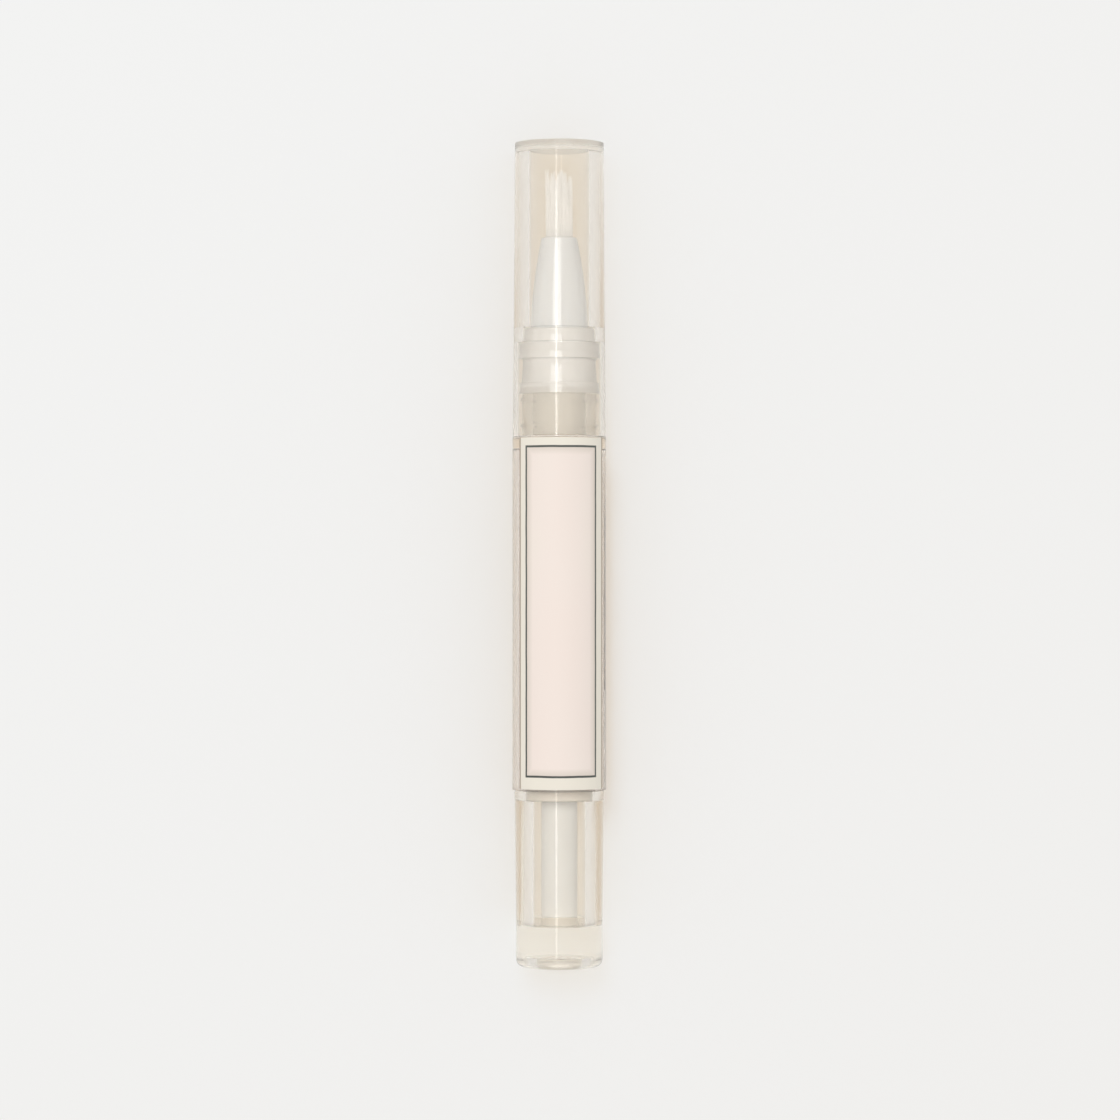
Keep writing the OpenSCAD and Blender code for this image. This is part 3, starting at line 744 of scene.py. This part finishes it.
def strandModel():
    # one straight strand, 1 mm long and 1 mm across
    deselectAll()
    bpy.ops.mesh.primitive_circle_add(vertices=4, radius=0.5 * mm, location=(0, 0, 0),
                                      rotation=(math.radians(-90), 0, 0))
    bpy.ops.object.mode_set(mode="EDIT")
    for ring in range(bristles["rings"]):
        step = mm / bristles["rings"]
        bpy.ops.mesh.extrude_edges_move(TRANSFORM_OT_translate={"value": (0, step, 0)})
    settleShape()
    return bpy.context.object


def clumpPlaces(rng):
    # where each clump gathers, how far its tip falls short and how far it leans
    places = []
    for c in range(bristles["clumps"]):
        turn = c * bristles["clumpTurn"]
        share = (c + bristles["clumpStart"]) / bristles["clumps"]
        reach = bristles["bundle"] * math.sqrt(share)
        spot = Vector((reach * math.sin(turn), 0, reach * math.cos(turn)))
        fall = rng.uniform(-bristles["clumpFall"], 0.0)
        places.append((spot, fall, rng.uniform(-bristles["clumpLean"], bristles["clumpLean"])))
    return places


def bristleBundle():
    rng = random.Random(bristles["seed"])
    model = strandModel()
    clumps = clumpPlaces(rng)
    root, mouth, thickness = bristles["root"], bristles["mouth"], bristles["thickness"]
    scatter, waviness = bristles["scatter"], bristles["waviness"]
    strands = []
    for i in range(bristles["count"]):
        reach = (bristles["bundle"] - thickness) * math.sqrt((i + 0.5) / bristles["count"])
        turn = i * bristles["strandTurn"]
        foot = Vector((reach * math.sin(turn), 0, reach * math.cos(turn)))
        clump, clumpFall, clumpLean = min(clumps, key=lambda c: (c[0] - foot).length)
        gather = rng.uniform(*bristles["gather"])
        tipPlace = foot.lerp(clump, gather) * rng.uniform(*bristles["splay"])
        lean = clumpLean * bristles["leanShare"] + rng.gauss(0, scatter)
        tipPlace += Vector((lean, 0, rng.gauss(0, scatter)))
        wave = Vector((rng.gauss(0, waviness), 0, rng.gauss(0, waviness)))
        top = bristles["tip"] - bristles["dome"] * (reach / bristles["bundle"]) ** 2
        top = top + clumpFall - abs(rng.gauss(0, bristles["uneven"]))
        strand = model.copy()
        strand.data = model.data.copy()
        bpy.context.scene.collection.objects.link(strand)
        for vertex in strand.data.vertices:
            height = root + (top - root) * (vertex.co.y / mm)
            free = max(0.0, (height - mouth) / (top - mouth))
            thin = thickness * (1 - bristles["taper"] * free ** 2)
            centre = foot.lerp(tipPlace, free ** bristles["bend"])
            centre = centre + wave * math.sin(bristles["waves"] * free)
            vertex.co = Vector((centre.x + vertex.co.x / mm * thin, height - pen["half"],
                                pen["axis"] + centre.z + vertex.co.z / mm * thin)) * mm
        strands.append(strand)
    bpy.data.objects.remove(model)
    return joined("bristle_bundle", strands)


bristlePiece = bristleBundle()
finished(bristlePiece, "barrel_body", "bristle_nylon", bristleFibre(), "bristles")
print("bristles made")

# the screw rod: two ridges that rise 3 mm a turn, a flat on each side and a snap head
rod = {
    "low": 6.6, "high": 38.78, "crest": 1.5, "root": 1.24, "lead": 3.0, "starts": 2,
    "ridge": (0.42, 0.62, 0.88, 1.08),  # foot, top, top and foot of a ridge, along the rod
    "flat": 1.1, "steps": 40, "headSteps": 64, "mergeWithin": 0.001,
    "spare": 0.5, "spareTurns": 2, "blankLength": 40, "blankWidth": 4,  # cut off again
    "head": [
        (0, 38.7), (1.05, 38.7), (1.05, 40.1), (1.68, 40.1, 0.05), (1.68, 40.66, 0.05),
        (1.05, 41.5, 0.05), (0, 41.5),
    ],
}


def threadedShank():
    # the side of one turn, standing, is screwed up to length and laid along the pen
    low, high, lead, root, crest = [rod[key] for key in ("low", "high", "lead", "root", "crest")]
    ridge = [(root, 0.0)] + list(zip((root, crest, crest, root), rod["ridge"]))
    pitch = lead / rod["starts"]
    side = [(radius, start * pitch + rise) for start in range(rod["starts"])
            for radius, rise in ridge] + [(root, lead)]
    shank = chainOf([Vector((radius, 0, rise)) * mm for radius, rise in side],
                    origin=Vector((0, 0, 0)))
    bpy.ops.object.mode_set(mode="OBJECT")
    turns = math.ceil((high - low) / lead) + rod["spareTurns"]
    useModifier(shank, "SCREW", axis="Z", angle=math.tau, screw_offset=lead * mm,
                steps=rod["steps"], render_steps=rod["steps"], iterations=turns,
                use_merge_vertices=False)
    shank.rotation_euler = (math.radians(-90), 0, 0)
    shank.location = at(0, low - lead - rod["spare"])
    bpy.ops.object.transform_apply(location=True, rotation=True, scale=True)
    bpy.ops.object.mode_set(mode="EDIT")
    bpy.ops.mesh.select_all(action="SELECT")
    bpy.ops.mesh.remove_doubles(threshold=rod["mergeWithin"] * mm)
    for endHeight, endSide in ((low, -1), (high, 1)):
        bpy.ops.mesh.select_all(action="SELECT")
        bpy.ops.mesh.bisect(plane_co=at(0, endHeight), plane_no=(0, endSide, 0),
                            use_fill=True, clear_outer=True)
    faceOutwards()
    bpy.ops.object.mode_set(mode="OBJECT")
    # what stands proud of the two flats is cut away
    bpy.ops.mesh.primitive_cube_add(size=1, location=at(0, (low + high) / 2), scale=(
        2 * rod["flat"] * mm, rod["blankLength"] * mm, rod["blankWidth"] * mm))
    betweenFlats = bpy.context.object
    settleShape()
    useModifier(shank, "BOOLEAN", operation="INTERSECT", object=betweenFlats)
    bpy.data.objects.remove(betweenFlats)
    return shank


rodShank = threadedShank()
rodHead = turnedPiece("rod_head", rod["head"], closed=False, steps=rod["headSteps"])
rodPiece = joined("screw_rod_threaded", [rodShank, rodHead])
print("screw rod made")

# the inner pieces: all but the rod keep the frame's shapes and get their finish here
innerLook = {
    "colour": (0.82, 0.79, 0.745), "shade": (0.79, 0.755, 0.71), "mottleScale": 200,
    "grainScale": 2500, "grainHeight": 0.0000015, "index": 1.5, "rough": 0.35,
    "roughChange": 0.08, "glow": 0.1, "glowReach": (1.0, 0.9, 0.8), "glowDepth": 0.0006,
}
sleeveLook = dict(innerLook, colour=(0.82, 0.84, 0.86), shade=(0.785, 0.8, 0.815), rough=0.3)
pistonLook = dict(innerLook, colour=(0.83, 0.83, 0.81), rough=0.42)
innerPlastic = moulded("innerPlastic", innerLook)
finished(rodPiece, "rod_body", "inner_plastic", innerPlastic, "screw_rod")
nodeFinishes = {
    "tuft_retainer": innerPlastic, "feed_tube": innerPlastic, "thread_nut": innerPlastic,
    "ratchet_ring": innerPlastic, "pawl_ring": innerPlastic, "guide_bush": innerPlastic,
    "drive_sleeve": moulded("sleevePlastic", sleeveLook),
    "piston": moulded("pistonPlastic", pistonLook),
}
for nodeName, material in nodeFinishes.items():
    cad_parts[nodeName].data.materials.clear()
    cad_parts[nodeName].data.materials.append(material)
print("inner pieces finished")
